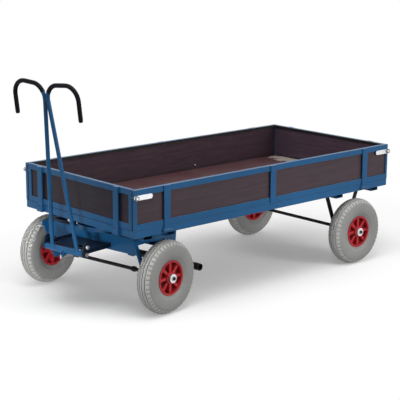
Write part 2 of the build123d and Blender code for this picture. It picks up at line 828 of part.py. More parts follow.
# Long drop walls: two hinge straps and a plain middle strap each, and a latch lever at each end
for name, side in (("left", 1), ("right", -1)):
    face = Plane((0, side * side_outer_y, 0), x_dir=(-side, 0, 0), z_dir=(0, side, 0))
    hinge_line = front_of(chassis, 0, side * hinge_y, hinge_z)
    with BuildPart() as side_frame:
        add(wall_frame(face, side_half_length, side_stile_width))
        extrude(upright(face, 0, strap_width, wall_bottom), amount=strap_thickness)
        for x in (side_strap_x, -side_strap_x):
            extrude(upright(face, -side * x, strap_width, hinge_z), amount=strap_thickness)
            with BuildSketch(hinge_line.offset(x)):
                Circle(hinge_barrel_radius)
            extrude(amount=strap_width / 2, both=True)
            with BuildSketch(hinge_line.offset(x)):
                Circle(hinge_pin_radius + running_clearance)
            extrude(amount=strap_width / 2, both=True, mode=Mode.SUBTRACT)
        extrude(spindle_holes(face), amount=-wall_depth, mode=Mode.SUBTRACT)
    save(side_frame, f"side_frame_{name}")

    with BuildPart() as side_panel:
        add(panel_board(face, side_half_length))
        extrude(spindle_holes(face), amount=-wall_depth, mode=Mode.SUBTRACT)
    save(side_panel, f"side_panel_{name}")

    for end_name, end in (("front", 1), ("rear", -1)):
        along = -side * end
        with BuildPart() as latch_lever:
            with BuildSketch(face.offset(latch_gap)):
                with Locations((along * (latch_x - latch_reach / 2), latch_z)):
                    SlotCenterToCenter(latch_reach, latch_height)
            extrude(amount=latch_thickness)
            with BuildSketch(face.offset(-wall_depth)):
                with Locations((along * latch_x, latch_z)):
                    Circle(spindle_radius)
            extrude(amount=wall_depth + latch_gap)
            with BuildSketch(face.offset(latch_gap + latch_thickness)):
                with Locations((along * latch_x, latch_z)):
                    Circle(spindle_head_radius)
            extrude(amount=spindle_head_height)
        save(latch_lever, f"latch_lever_{end_name}_{name}")

# Hinge lugs on the side rails, and the pins through them
lug_offset = strap_width / 2 + lug_gap + lug_thickness / 2
pin_half = lug_offset + lug_thickness / 2 + hinge_pin_overhang
with BuildPart() as hinge_lugs:
    for side in (1, -1):
        for x in (side_strap_x, -side_strap_x):
            for offset_x in (lug_offset, -lug_offset):
                with BuildSketch(front_of(chassis, x + offset_x, 0, hinge_z)):
                    with Locations((side * (half_w + lug_root_depth / 2), 0)):
                        Rectangle(lug_root_depth, lug_root_height)
                    with Locations((side * hinge_y, 0)):
                        Circle(hinge_barrel_radius)
                    make_hull()
                    with Locations((side * hinge_y, 0)):
                        Circle(hinge_pin_radius + running_clearance, mode=Mode.SUBTRACT)
                extrude(amount=lug_thickness / 2, both=True)
save(hinge_lugs, "side_hinge_lugs")

with BuildPart() as hinge_pins:
    for side in (1, -1):
        for x in (side_strap_x, -side_strap_x):
            with BuildSketch(front_of(chassis, x, side * hinge_y, hinge_z)):
                Circle(hinge_pin_radius)
            extrude(amount=pin_half, both=True)
save(hinge_pins, "side_hinge_pins")

# End walls, which lift out: their stakes stand in pockets on the end rails
for name, end in (("front", 1), ("rear", -1)):
    face = Plane((end * end_outer_x, 0, 0), x_dir=(0, end, 0), z_dir=(end, 0, 0))
    with BuildPart() as end_frame:
        add(wall_frame(face, end_half_width, end_post_width))
        for y in (stake_y, -stake_y):
            extrude(upright(face, y, stake_width, rail_top - stake_reach), amount=stake_thickness)
    save(end_frame, f"end_frame_{name}")
    with BuildPart() as end_panel:
        add(panel_board(face, end_half_width))
    save(end_panel, f"end_panel_{name}")

pocket_width = stake_width + 2 * (pocket_clearance + pocket_wall)
pocket_depth = wall_proud + stake_thickness + pocket_clearance + pocket_wall
with BuildPart() as stake_pockets:
    for end in (1, -1):
        outer_x = end * (half_l + pocket_depth / 2)
        inner_x = end * (half_l + (pocket_depth - pocket_wall) / 2)
        with BuildSketch(Plane.XY.offset(rail_bottom)):
            with Locations((outer_x, stake_y), (outer_x, -stake_y)):
                Rectangle(pocket_depth, pocket_width)
            with Locations((inner_x, stake_y), (inner_x, -stake_y)):
                Rectangle(pocket_depth - pocket_wall, pocket_width - 2 * pocket_wall, mode=Mode.SUBTRACT)
        extrude(amount=pocket_height)
save(stake_pockets, "stake_pockets")
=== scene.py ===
# %% [markdown]
# # Dressing a hand platform truck
# This lesson takes the measured steel and plywood parts of a hand-pulled truck and gives them their looks.
# The parts arrive as a fixed frame: they keep their place and size, and every new piece rides on one of them.
# We keep the box around the bare parts, because the dressed truck has to stay inside it.

# %% Load the frame
import json
from math import atan2, ceil, cos, pi, radians, sin, sqrt, tan, tau

import bmesh
import bpy
from mathutils import Matrix, Vector


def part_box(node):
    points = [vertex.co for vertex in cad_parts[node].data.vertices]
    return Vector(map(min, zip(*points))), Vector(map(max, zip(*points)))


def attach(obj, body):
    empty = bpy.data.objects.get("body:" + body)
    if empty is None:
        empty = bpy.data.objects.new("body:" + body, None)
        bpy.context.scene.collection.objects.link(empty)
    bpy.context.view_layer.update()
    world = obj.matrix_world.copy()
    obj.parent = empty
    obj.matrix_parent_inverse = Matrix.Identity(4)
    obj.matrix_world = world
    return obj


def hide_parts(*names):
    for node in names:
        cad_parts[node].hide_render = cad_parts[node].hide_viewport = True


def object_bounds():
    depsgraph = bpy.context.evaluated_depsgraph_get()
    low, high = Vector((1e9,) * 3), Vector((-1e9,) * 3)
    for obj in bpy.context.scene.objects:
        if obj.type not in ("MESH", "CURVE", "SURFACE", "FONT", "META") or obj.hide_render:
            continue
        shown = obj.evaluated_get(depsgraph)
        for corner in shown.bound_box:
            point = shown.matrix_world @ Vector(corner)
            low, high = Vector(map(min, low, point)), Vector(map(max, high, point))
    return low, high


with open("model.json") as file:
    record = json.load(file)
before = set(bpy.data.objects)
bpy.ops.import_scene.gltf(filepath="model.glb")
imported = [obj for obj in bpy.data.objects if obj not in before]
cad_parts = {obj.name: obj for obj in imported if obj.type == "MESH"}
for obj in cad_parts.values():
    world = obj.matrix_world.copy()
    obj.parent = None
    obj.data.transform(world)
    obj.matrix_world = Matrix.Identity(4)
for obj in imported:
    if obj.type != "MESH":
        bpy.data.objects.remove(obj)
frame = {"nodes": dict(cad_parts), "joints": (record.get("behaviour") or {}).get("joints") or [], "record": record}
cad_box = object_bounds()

nodes = frame["nodes"]
joints = {joint["name"]: joint for joint in frame["joints"]}
slot_of = {row["node"]: row["material_slot"] for row in frame["record"]["subparts"]}
print("loaded", len(nodes), "parts in a box of", [round(high - low, 3) for low, high in zip(*cad_box)])

# %% [markdown]
# ## The camera
# The picture was taken from the front left corner, a little above the walls, with a long lens from far away.
# A long lens keeps the far end of the truck almost as large as the near end, so the lens length matters
# as much as the direction. We build the camera's matrix from its heading, its dip and a small roll.

# %% Camera
picture_width, focal_pixels = 400, 1237
sensor_width, far_clip = 36, 200
camera_place = Vector((4.868, 5.255, 1.571))
heading, dip, roll = radians(-132.15), radians(-13.01), radians(0.24)

scene = bpy.context.scene
camera = bpy.data.objects.new("camera", bpy.data.cameras.new("camera"))
scene.collection.objects.link(camera)
camera.data.sensor_width = sensor_width
camera.data.lens = focal_pixels / picture_width * sensor_width
camera.data.clip_end = far_clip
look = Vector((cos(heading) * cos(dip), sin(heading) * cos(dip), sin(dip)))
turn = look.to_track_quat("-Z", "Y").to_matrix().to_4x4() @ Matrix.Rotation(roll, 4, "Z")
camera.matrix_world = Matrix.Translation(camera_place) @ turn
scene.camera = camera
scene.view_settings.view_transform = "Standard"
print("camera", round(camera.data.lens, 1), "mm")

# %% [markdown]
# ## Small helpers for node trees
# A material is a tree of nodes. Adding a node by hand takes many lines, so short helpers do it: `wire` adds
# a node and sets or links its inputs, `calc` and `vector_calc` do sums, and `blend` mixes two colours.
# `new_group` starts a shader node group, a small tree with named sockets that many materials can share,
# and `use` places it in a material.

# %% Node helpers
def wire(tree, kind, inputs=None, **settings):
    """Add a node, set its options, then set or link each named input."""
    node = tree.nodes.new(kind)
    for option, value in settings.items():
        setattr(node, option, value)
    for socket, value in (inputs or {}).items():
        if isinstance(value, bpy.types.NodeSocket):
            tree.links.new(value, node.inputs[socket])
        else:
            node.inputs[socket].default_value = value
    return node


def calc(tree, operation, first, second=0.0, clamp=False):
    node = wire(tree, "ShaderNodeMath", {0: first, 1: second}, operation=operation, use_clamp=clamp)
    return node.outputs[0]


def vector_calc(tree, operation, first, second=(0.0, 0.0, 0.0)):
    """Sums with places and directions; a length or a dot product is a plain number."""
    node = wire(tree, "ShaderNodeVectorMath", {0: first, 1: second}, operation=operation)
    return node.outputs["Value" if operation in ("LENGTH", "DOT_PRODUCT") else "Vector"]


def remap(tree, value, low, high, to_low=0.0, to_high=1.0):
    """Stretch the span from low to high over the new span, and cut off what lies outside."""
    inputs = {"Value": value, "From Min": low, "From Max": high, "To Min": to_low, "To Max": to_high}
    return wire(tree, "ShaderNodeMapRange", inputs).outputs[0]


def blend(tree, share, first, second):
    return wire(tree, "ShaderNodeMix", {0: share, 6: first, 7: second}, data_type="RGBA").outputs[2]


def new_group(name, inputs, outputs):
    """A shader node group: inputs give each socket's starting value, outputs give each socket's kind."""
    group = bpy.data.node_groups.new(name, "ShaderNodeTree")
    for label, value in inputs.items():
        kind = "NodeSocketColor" if isinstance(value, tuple) else "NodeSocketFloat"
        group.interface.new_socket(label, in_out="INPUT", socket_type=kind).default_value = value
    for label, kind in outputs.items():
        group.interface.new_socket(label, in_out="OUTPUT", socket_type="NodeSocket" + kind)
    start = group.nodes.new("NodeGroupInput").outputs
    end = group.nodes.new("NodeGroupOutput").inputs
    return group, start, end


def use(tree, group, **values):
    """Place a group and give its output; an underscore in a value's name stands for a space."""
    inputs = {label.replace("_", " "): value for label, value in values.items()}
    return wire(tree, "ShaderNodeGroup", inputs, node_tree=group).outputs[0]


def noise(tree, where, scale, detail=3.0, rough=0.55):
    inputs = {"Vector": where, "Scale": scale, "Detail": detail, "Roughness": rough}
    return wire(tree, "ShaderNodeTexNoise", inputs).outputs["Fac"]


def own_place(tree):
    """Coordinates fixed to the piece, so a finish travels with it when it moves."""
    return wire(tree, "ShaderNodeTexCoord").outputs["Object"]


print("node helpers ready")

# %% [markdown]
# ## The studio
# The truck stands on a pale floor that melts into a white background, and only its soft shadow shows. More
# light would wash out the truck, so the white is made in the floor and the world instead: rays from the
# camera, and rays mirrored by metal, meet a white of strength 1, while the light that falls on the truck
# stays plain. Close to the truck the floor is a matt surface that takes the shadow. Further out it fades into
# the white.

# %% Floor and world
floor_half = 60.0
shadow_shape, shadow_reach = (1.15, 0.75, 1.0), (1.0, 2.3)
floor_lift = 0.18
floor_seen, floor_bounce = 0.92, 0.33
ambient_level = 0.50


def seen_directly(tree):
    """1 for rays from the camera, from a mirror or through glass, and 0 for light that bounces around."""
    path = wire(tree, "ShaderNodeLightPath").outputs
    mirrored = calc(tree, "MAXIMUM", path["Is Glossy Ray"], path["Is Transmission Ray"])
    return calc(tree, "MAXIMUM", path["Is Camera Ray"], mirrored)


floor_mesh = bpy.data.meshes.new("studio_floor")
floor_height = cad_box[0][2]
unit_square = ((-1, -1), (1, -1), (1, 1), (-1, 1))
floor_points = [(x * floor_half, y * floor_half, floor_height) for x, y in unit_square]
floor_mesh.from_pydata(floor_points, [], [(0, 1, 2, 3)])
floor = bpy.data.objects.new("studio_floor", floor_mesh)
scene.collection.objects.link(floor)

pale = bpy.data.materials.new("pale_floor")
pale.use_nodes = True
tree = pale.node_tree
tree.nodes.clear()
distance = vector_calc(tree, "LENGTH", vector_calc(tree, "DIVIDE", own_place(tree), shadow_shape))
far = remap(tree, distance, *shadow_reach)
seen = seen_directly(tree)
white = wire(tree, "ShaderNodeEmission", {"Color": (1, 1, 1, 1), "Strength": seen})
lift = wire(tree, "ShaderNodeEmission", {"Strength": calc(tree, "MULTIPLY", seen, floor_lift)})
grey = remap(tree, seen, 0.0, 1.0, floor_bounce, floor_seen)
matt = wire(tree, "ShaderNodeBsdfDiffuse", {"Color": grey})
near = wire(tree, "ShaderNodeAddShader", {0: matt.outputs[0], 1: lift.outputs[0]})
whole = wire(tree, "ShaderNodeMixShader", {0: far, 1: near.outputs[0], 2: white.outputs[0]})
wire(tree, "ShaderNodeOutputMaterial", {"Surface": whole.outputs[0]})
floor_mesh.materials.append(pale)

world = bpy.data.worlds.new("studio_world")
scene.world = world
world.use_nodes = True
tree = world.node_tree
level = remap(tree, seen_directly(tree), 0.0, 1.0, ambient_level, 1.0)
tree.nodes["Background"].inputs["Color"].default_value = (1, 1, 1, 1)
tree.links.new(level, tree.nodes["Background"].inputs["Strength"])
print("floor at", round(floor_height, 3))

# %% [markdown]
# One large soft lamp above the front left corner gives the bright top edges and the broad shadow. A second
# one, beside the rear half, grazes the long wall, so that its straps throw a thin shadow forward. Two much
# weaker ones stand low. Each has a grid that keeps its light in a narrow beam, and both beams pass under the
# deck: one reaches the bogie and the far front wheel, the other the far rear wheel.

# %% Lamps
def soft_lamp(name, place, target, size, power, spread=180):
    """A square lamp that looks at its target; the spread of its beam is in degrees."""
    lamp = bpy.data.objects.new(name, bpy.data.lights.new(name, "AREA"))
    lamp.data.size = size
    lamp.data.energy = power
    lamp.data.spread = radians(spread)
    lamp.location = place
    lamp.rotation_euler = (Vector(target) - Vector(place)).to_track_quat("-Z", "Y").to_euler()
    scene.collection.objects.link(lamp)


far_front_wheel, far_rear_wheel = (0.75, -0.42, -0.40), (-0.75, -0.45, -0.40)
soft_lamp("key_lamp", (1.7, 1.1, 4.7), (0, 0, 0), size=3.2, power=125)
soft_lamp("side_lamp", (-2.0, 5.1, 1.5), (0, 0, 0), size=1.8, power=106)
soft_lamp("front_lamp", (4.4, 2.5, -0.18), far_front_wheel, size=0.5, power=1.9, spread=22)
soft_lamp("low_lamp", (2.0, 4.6, -0.20), far_rear_wheel, size=0.4, power=0.42, spread=12)
print("four soft lamps")

# %% [markdown]
# ## Shared surface effects
# Paint chips along edges, dust lies on top faces, corners darken with dirt and with painted shade, and no
# colour is quite even.
# Nearly every finish of this truck has these four things, each in its own strength. So each is a node group,
# built once. It gives a mask or a colour, and the material decides what to do with it.

# %% Patches and masks
probe_rays = 6


def patches(group, start, detail, low, high):
    """A noise of the group's Patch Size, hardened into patches."""
    return remap(group, noise(group, own_place(group), start["Patch Size"], detail), low, high)


def put_mask(group, start, end, first, second):
    """Send out the product of two masks, in the group's Amount."""
    mask = calc(group, "MULTIPLY", first, second)
    group.links.new(calc(group, "MULTIPLY", mask, start["Amount"], clamp=True), end["Mask"])
    print("group", group.name)


print("masks probe with", probe_rays, "rays")

# %% Worn edges
# The Bevel node gives the normal that a rounded edge would have. Where it differs from the true normal,
# an edge is near. A noise breaks the line, so that paint is lost in short runs and not in an even stripe.
worn_edges, start, end = new_group(
    "worn edges", {"Width": 0.003, "Patch Size": 60.0, "Amount": 1.0}, {"Mask": "Float"}
)
rounding = wire(worn_edges, "ShaderNodeBevel", {"Radius": start["Width"]}, samples=probe_rays)
true_normal = wire(worn_edges, "ShaderNodeNewGeometry").outputs["Normal"]
likeness = vector_calc(worn_edges, "DOT_PRODUCT", rounding.outputs["Normal"], true_normal)
near_edge = remap(worn_edges, likeness, 0.985, 0.86)
short_runs = patches(worn_edges, start, detail=5.0, low=0.47, high=0.60)
put_mask(worn_edges, start, end, near_edge, short_runs)

# %% Settled dust
settled_dust, start, end = new_group("settled dust", {"Patch Size": 6.0, "Amount": 0.5}, {"Mask": "Float"})
piece_normal = wire(settled_dust, "ShaderNodeTexCoord").outputs["Normal"]
facing_up = wire(settled_dust, "ShaderNodeSeparateXYZ", {0: piece_normal}).outputs["Z"]
on_top = remap(settled_dust, facing_up, 0.35, 0.95)
drifts = patches(settled_dust, start, detail=6.0, low=0.35, high=0.75)
put_mask(settled_dust, start, end, on_top, drifts)

# %% Corner shade and grime
corner_shade_and_grime, start, end = new_group(
    "corner shade and grime", {"Reach": 0.03, "Patch Size": 25.0, "Amount": 0.6}, {"Mask": "Float"}
)
# Ambient occlusion finds corners and crevices; there the finishes darken, partly dirt and partly painted shade.
openness = wire(corner_shade_and_grime, "ShaderNodeAmbientOcclusion", {"Distance": start["Reach"]}, samples=probe_rays)
in_corner = remap(corner_shade_and_grime, openness.outputs["AO"], 0.85, 0.25)
stains = patches(corner_shade_and_grime, start, detail=4.0, low=0.2, high=0.7)
put_mask(corner_shade_and_grime, start, end, in_corner, stains)

# %% Uneven colour
uneven_colour, start, end = new_group(
    "uneven colour", {"Colour": (0.5, 0.5, 0.5, 1.0), "Patch Size": 8.0, "Drift": 0.2}, {"Colour": "Color"}
)
cloud = noise(uneven_colour, own_place(uneven_colour), start["Patch Size"], detail=5.0)
double_drift = calc(uneven_colour, "MULTIPLY", start["Drift"], 2.0)
off_middle = calc(uneven_colour, "SUBTRACT", cloud, 0.5)
brightness = calc(uneven_colour, "ADD", calc(uneven_colour, "MULTIPLY", off_middle, double_drift), 1.0)
shifted = wire(uneven_colour, "ShaderNodeHueSaturation", {"Value": brightness, "Color": start["Colour"]})
uneven_colour.links.new(shifted.outputs[0], end["Colour"])
print("group", uneven_colour.name)

# %% Pebbled skin
# Sprayed paint dries with a faint orange-peel skin, and moulded rubber keeps the mould's fine pebble.
pebbled_skin, start, end = new_group("pebbled skin", {"Grain Size": 400.0, "Waves": 0.4}, {"Height": "Float"})
fine = noise(pebbled_skin, own_place(pebbled_skin), start["Grain Size"], detail=2.0)
wave_size = calc(pebbled_skin, "MULTIPLY", start["Grain Size"], 0.08)
waves = noise(pebbled_skin, own_place(pebbled_skin), wave_size, detail=2.0)
waves = calc(pebbled_skin, "MULTIPLY", waves, start["Waves"])
pebbled_skin.links.new(calc(pebbled_skin, "ADD", fine, waves), end["Height"])
print("group", pebbled_skin.name)

# %% [markdown]
# ## Finishes
# Each finish starts the same way: a Principled shader whose plain numbers are set on its own sockets.
# Then the shared effects are wired into its colour, its roughness and its bump.

# %% A new finish
def new_finish(name, **plain):
    """A material with its Principled shader; an underscore in a plain value's name stands for a space."""
    material = bpy.data.materials.new(name)
    material.use_nodes = True
    shader = material.node_tree.nodes["Principled BSDF"]
    for label, value in plain.items():
        shader.inputs[label.replace("_", " ")].default_value = value
    return material, material.node_tree, shader


def join(tree, shader, label, value):
    tree.links.new(value, shader.inputs[label])


def emboss(tree, shader, height, depth):
    """Let a height pattern tilt the shading; depth is the pattern's real height in metres."""
    bump = wire(tree, "ShaderNodeBump", {"Height": height, "Distance": depth, "Strength": 1.0})
    join(tree, shader, "Normal", bump.outputs["Normal"])


dust_colour = (0.36, 0.34, 0.31, 1.0)
shade_and_grime_colour = (0.018, 0.016, 0.015, 1.0)
print("finish helpers ready")

# %% [markdown]
# ** Enamel.** The chassis, the wall frames and the drawbar are sprayed with blue enamel, and the rims with
# red. Both are the same recipe with another colour: an uneven coat over steel, chipped at the edges, dusty on
# top and darker in the corners, partly dirt and partly painted shade, with a faint orange-peel skin under a
# thin glossy coat. On the wall frames the pale top is heavier, partly dust and partly a painted highlight. The
# wall frames have a black band along their inner lip. A band is measured along a direction, from its middle
# outward.
# The drawbar's arms and the tongue plate between them get a blue so dark that they look black: a painted
# shade, for they lie in shadow under the deck.

# %% Blue and red enamel
def blackened(tree, coat, direction, middle, half_width):
    """The coat with a black band: all points that are near the middle along a direction."""
    along = vector_calc(tree, "DOT_PRODUCT", own_place(tree), direction)
    from_middle = calc(tree, "ABSOLUTE", calc(tree, "SUBTRACT", along, middle))
    return blend(tree, calc(tree, "LESS_THAN", from_middle, half_width), coat, shade_and_grime_colour)


def enamel(name, colour, chip_colour, gloss, chips, dust, band=None):
    """A paint coat; a black band is given by its direction, its middle and its half width."""
    material, tree, shader = new_finish(name, Coat_Roughness=0.15, Specular_IOR_Level=0.18)
    coat = use(tree, uneven_colour, Colour=colour, Patch_Size=5.0, Drift=0.16)
    # Darker in the corners: partly dirt, partly painted shade.
    shade_and_dirt = use(tree, corner_shade_and_grime, Reach=0.025, Patch_Size=18.0, Amount=0.7)
    powder = use(tree, settled_dust, Patch_Size=7.0, Amount=dust)
    bare = use(tree, worn_edges, Width=0.0025, Patch_Size=45.0, Amount=chips)
    coat = blend(tree, shade_and_dirt, coat, shade_and_grime_colour)
    coat = blend(tree, powder, coat, dust_colour)
    if band:
        coat = blackened(tree, coat, *band)
    join(tree, shader, "Base Color", blend(tree, bare, coat, chip_colour))
    dull = calc(tree, "MAXIMUM", calc(tree, "MAXIMUM", shade_and_dirt, powder), bare)
    join(tree, shader, "Roughness", remap(tree, dull, 0.0, 1.0, gloss, 0.75))
    join(tree, shader, "Coat Weight", remap(tree, dull, 0.0, 0.6, 0.10, 0.0))
    peel = use(tree, pebbled_skin, Grain_Size=260.0, Waves=0.8)
    emboss(tree, shader, calc(tree, "SUBTRACT", peel, bare), depth=0.00025)
    return material


blue, pale_blue = (0.010, 0.100, 0.252, 1), (0.20, 0.28, 0.36, 1)
painted_shade_blue = (0.004, 0.012, 0.030, 1)
red, pale_red = (0.46, 0.014, 0.022, 1), (0.55, 0.18, 0.17, 1)
blue_gloss, red_gloss = 0.38, 0.30
side_lips, end_lips = ((0, 1, 0), 0.0, 0.466), ((1, 0, 0), 0.0, 0.980)
blue_enamel = enamel("blue_enamel", blue, pale_blue, blue_gloss, chips=0.50, dust=0.12)
# On the wall frames the top faces take more dust: partly dust, partly a painted highlight on the rails.
side_frame_enamel = enamel(
    "side_frame_enamel", blue, pale_blue, blue_gloss, chips=0.60, dust=0.50, band=side_lips
)
end_frame_enamel = enamel(
    "end_frame_enamel", blue, pale_blue, blue_gloss, chips=0.60, dust=0.40, band=end_lips
)
# Painted shade: the arms and their tongue plate lie in shadow under the deck, so their blue is near black.
arm_enamel_painted_shade = enamel("arm_enamel_painted_shade", painted_shade_blue, pale_blue, blue_gloss, chips=0.25, dust=0.05)
red_enamel = enamel("red_enamel", red, pale_red, red_gloss, chips=0.35, dust=0.16)
coats = (blue_enamel, side_frame_enamel, end_frame_enamel, arm_enamel_painted_shade, red_enamel)
print("enamels", [coat.name for coat in coats])

# %% [markdown]
# ** Bare metals.** The axles and the brake gear are blackened steel, the small hardware is zinc plated, and
# the balls of the turntable are dark steel. The stop bolts are bright outside; between the drawbar's arms
# their shafts are black, a painted shade where the arms shadow them. Zinc has a faint patchwork of crystals,
# which a Voronoi texture gives, and blackened steel has rubbed spots.

# %% Steel and zinc
def plated(name, colour, crystal_size, rough, band=None):
    material, tree, shader = new_finish(name, Metallic=1.0)
    cells = wire(tree, "ShaderNodeTexVoronoi", {"Vector": own_place(tree), "Scale": crystal_size})
    grey = wire(tree, "ShaderNodeRGBToBW", {0: cells.outputs["Color"]}).outputs[0]
    tone = use(tree, uneven_colour, Colour=colour, Patch_Size=30.0, Drift=0.14)
    # Darker in the crevices: partly dirt, partly painted shade.
    shade_and_dirt = use(tree, corner_shade_and_grime, Reach=0.008, Patch_Size=60.0, Amount=0.8)
    tone = blend(tree, shade_and_dirt, tone, shade_and_grime_colour)
    if band:
        tone = blackened(tree, tone, *band)
    join(tree, shader, "Base Color", tone)
    spread = remap(tree, grey, 0.2, 0.8, rough - 0.06, rough + 0.08)
    join(tree, shader, "Roughness", calc(tree, "MAXIMUM", spread, calc(tree, "MULTIPLY", shade_and_dirt, 0.7)))
    emboss(tree, shader, use(tree, pebbled_skin, Grain_Size=900.0, Waves=0.5), depth=0.00006)
    return material


def blackened_steel():
    material, tree, shader = new_finish("blackened_steel", Specular_IOR_Level=0.18)
    tone = use(tree, uneven_colour, Colour=(0.008, 0.008, 0.010, 1), Patch_Size=22.0, Drift=0.4)
    rubbed = use(tree, worn_edges, Width=0.002, Patch_Size=70.0, Amount=0.3)
    powder = use(tree, settled_dust, Patch_Size=12.0, Amount=0.04)
    tone = blend(tree, powder, tone, dust_colour)
    join(tree, shader, "Base Color", blend(tree, rubbed, tone, (0.20, 0.20, 0.21, 1)))
    join(tree, shader, "Metallic", rubbed)
    join(tree, shader, "Roughness", remap(tree, powder, 0.0, 0.04, 0.42, 0.70))
    emboss(tree, shader, use(tree, pebbled_skin, Grain_Size=500.0, Waves=0.6), depth=0.0002)
    return material


dark_steel = blackened_steel()
zinc = plated("zinc_plate", (0.74, 0.75, 0.77, 1), crystal_size=260.0, rough=0.34)
# Painted shade: between the arms the stop bolts' shafts are made black, where the arms shadow them.
swing = joints["drawbar_swing"]
swing_axis, pivot = Vector(swing["axis"]), Vector(swing["pos_m"])
arm_gap_half = 0.1425
between_arms = (swing_axis, swing_axis.dot(pivot), arm_gap_half)
bolt_zinc = plated("bolt_zinc", (0.80, 0.81, 0.83, 1), crystal_size=260.0, rough=0.34, band=between_arms)
bearing_steel = plated("bearing_steel", (0.09, 0.085, 0.08, 1), crystal_size=500.0, rough=0.22)
print("metals", dark_steel.name, zinc.name, bolt_zinc.name, bearing_steel.name)

# %% [markdown]
# ** Film-faced plywood.** Walls and deck are birch plywood under a hard brown resin film. The film is smooth
# and mirrors the white studio on the outer faces. The grain beneath still shows as long faint streaks, so a
# noise is stretched along the board. The deck's film has a wire-mesh imprint against slipping, made by two
# crossed waves, and its hollows are darker, partly dirt and partly painted shade. In one rear corner a pale
# patch with a ragged edge is a painted pool of light.

# %% Wood streaks
wood_streaks, start, end = new_group(
    "wood streaks", {"Along X": 1.0, "Along Y": 12.0, "Along Z": 12.0, "Fineness": 6.0}, {"Streaks": "Float"}
)
squeeze = wire(wood_streaks, "ShaderNodeCombineXYZ")
for axis in "XYZ":
    wood_streaks.links.new(start["Along " + axis], squeeze.inputs[axis])
stretched = vector_calc(wood_streaks, "MULTIPLY", own_place(wood_streaks), squeeze.outputs[0])
grain = noise(wood_streaks, stretched, start["Fineness"], detail=8.0, rough=0.65)
wood_streaks.links.new(grain, end["Streaks"])
print("group", wood_streaks.name)

# %% Wall board and deck board
def wall_board(name, along_x, along_y, tone, lighter, gleam):
    """A smooth film-faced board whose grain runs where the squeeze along an axis is least."""
    material, tree, shader = new_finish(name, Coat_Roughness=0.25, Specular_IOR_Level=gleam)
    streaks = use(tree, wood_streaks, Along_X=along_x, Along_Y=along_y, Along_Z=14.0, Fineness=5.0)
    film = use(tree, uneven_colour, Colour=tone, Patch_Size=3.0, Drift=0.22)
    film = blend(tree, remap(tree, streaks, 0.42, 0.66, 0.0, 0.45), film, lighter)
    # Darker along rails and straps: partly dirt, partly painted shade.
    shade_and_dirt = use(tree, corner_shade_and_grime, Reach=0.05, Patch_Size=10.0, Amount=0.75)
    rubbed = use(tree, wood_streaks, Along_X=along_x, Along_Y=along_y, Along_Z=60.0, Fineness=16.0)
    rubbed = remap(tree, rubbed, 0.66, 0.78, 0.0, 0.5)
    film = blend(tree, shade_and_dirt, film, shade_and_grime_colour)
    join(tree, shader, "Base Color", blend(tree, rubbed, film, (0.20, 0.16, 0.15, 1)))
    join(tree, shader, "Roughness", remap(tree, streaks, 0.3, 0.7, 0.30, 0.44))
    join(tree, shader, "Coat Weight", remap(tree, shade_and_dirt, 0.0, 0.5, 0.08, 0.0))
    emboss(tree, shader, streaks, depth=0.0004)
    return material


light_pool_corner, light_pool_reach = (-0.945, -0.27, 0.0), (0.10, 0.18, 1.0)
light_pool_colour = (0.42, 0.37, 0.32, 1)
mesh_scale = 100 / 2.2  # waves about 7 mm apart


def deck_board():
    material, tree, shader = new_finish("deck_board", Specular_IOR_Level=0.25)
    place = own_place(tree)
    wires = []
    for direction in "XY":
        settings = {"wave_type": "BANDS", "bands_direction": direction, "wave_profile": "SIN"}
        waves = wire(tree, "ShaderNodeTexWave", {"Vector": place, "Scale": mesh_scale}, **settings)
        wires.append(waves.outputs["Fac"])
    imprint = calc(tree, "MAXIMUM", *wires)
    streaks = use(tree, wood_streaks, Along_X=1.0, Along_Y=14.0, Along_Z=14.0, Fineness=5.0)
    film = use(tree, uneven_colour, Colour=(0.078, 0.028, 0.034, 1), Patch_Size=2.5, Drift=0.25)
    film = blend(tree, remap(tree, streaks, 0.42, 0.68, 0.0, 0.5), film, (0.120, 0.052, 0.054, 1))
    powder = use(tree, settled_dust, Patch_Size=3.0, Amount=0.08)
    # Darker near the walls: partly dirt, partly painted shade.
    shade_and_dirt = use(tree, corner_shade_and_grime, Reach=0.10, Patch_Size=6.0, Amount=0.8)
    film = blend(tree, powder, film, dust_colour)
    # The imprint's hollows are painted darker: partly dirt, partly painted shade.
    film = blend(tree, remap(tree, imprint, 0.5, 0.9, 0.30, 0.0), film, shade_and_grime_colour)
    film = blend(tree, shade_and_dirt, film, shade_and_grime_colour)
    # A pale ragged patch near one rear corner: a painted pool of light.
    from_corner = vector_calc(tree, "SUBTRACT", place, light_pool_corner)
    away = vector_calc(tree, "LENGTH", vector_calc(tree, "DIVIDE", from_corner, light_pool_reach))
    fray = remap(tree, noise(tree, place, scale=18.0, detail=5.0), 0.3, 0.7, -0.4, 0.4)
    ragged = calc(tree, "ADD", away, fray)
    join(tree, shader, "Base Color", blend(tree, remap(tree, ragged, 0.95, 0.75), film, light_pool_colour))
    join(tree, shader, "Roughness", remap(tree, streaks, 0.3, 0.7, 0.42, 0.60))
    emboss(tree, shader, imprint, depth=0.0003)
    return material


lengthwise, crosswise = (1.0, 14.0), (14.0, 1.0)
side_film = ((0.047, 0.028, 0.038, 1), (0.080, 0.050, 0.058, 1))
# The front end board's film is darker than the side boards', a painted shade, and the rear board's film is paler,
# a painted light.
end_film_painted_shade = ((0.022, 0.016, 0.025, 1), (0.040, 0.030, 0.040, 1))
rear_film_painted_light = ((0.076, 0.047, 0.070, 1), (0.115, 0.076, 0.094, 1))
side_board = wall_board("side_board", *lengthwise, *side_film, gleam=0.20)
end_board_painted_shade = wall_board("end_board_painted_shade", *crosswise, *end_film_painted_shade, gleam=0.10)
rear_board_painted_light = wall_board("rear_board_painted_light", *crosswise, *rear_film_painted_light, gleam=0.20)
deck_film = deck_board()
print("boards", side_board.name, end_board_painted_shade.name, rear_board_painted_light.name, deck_film.name)

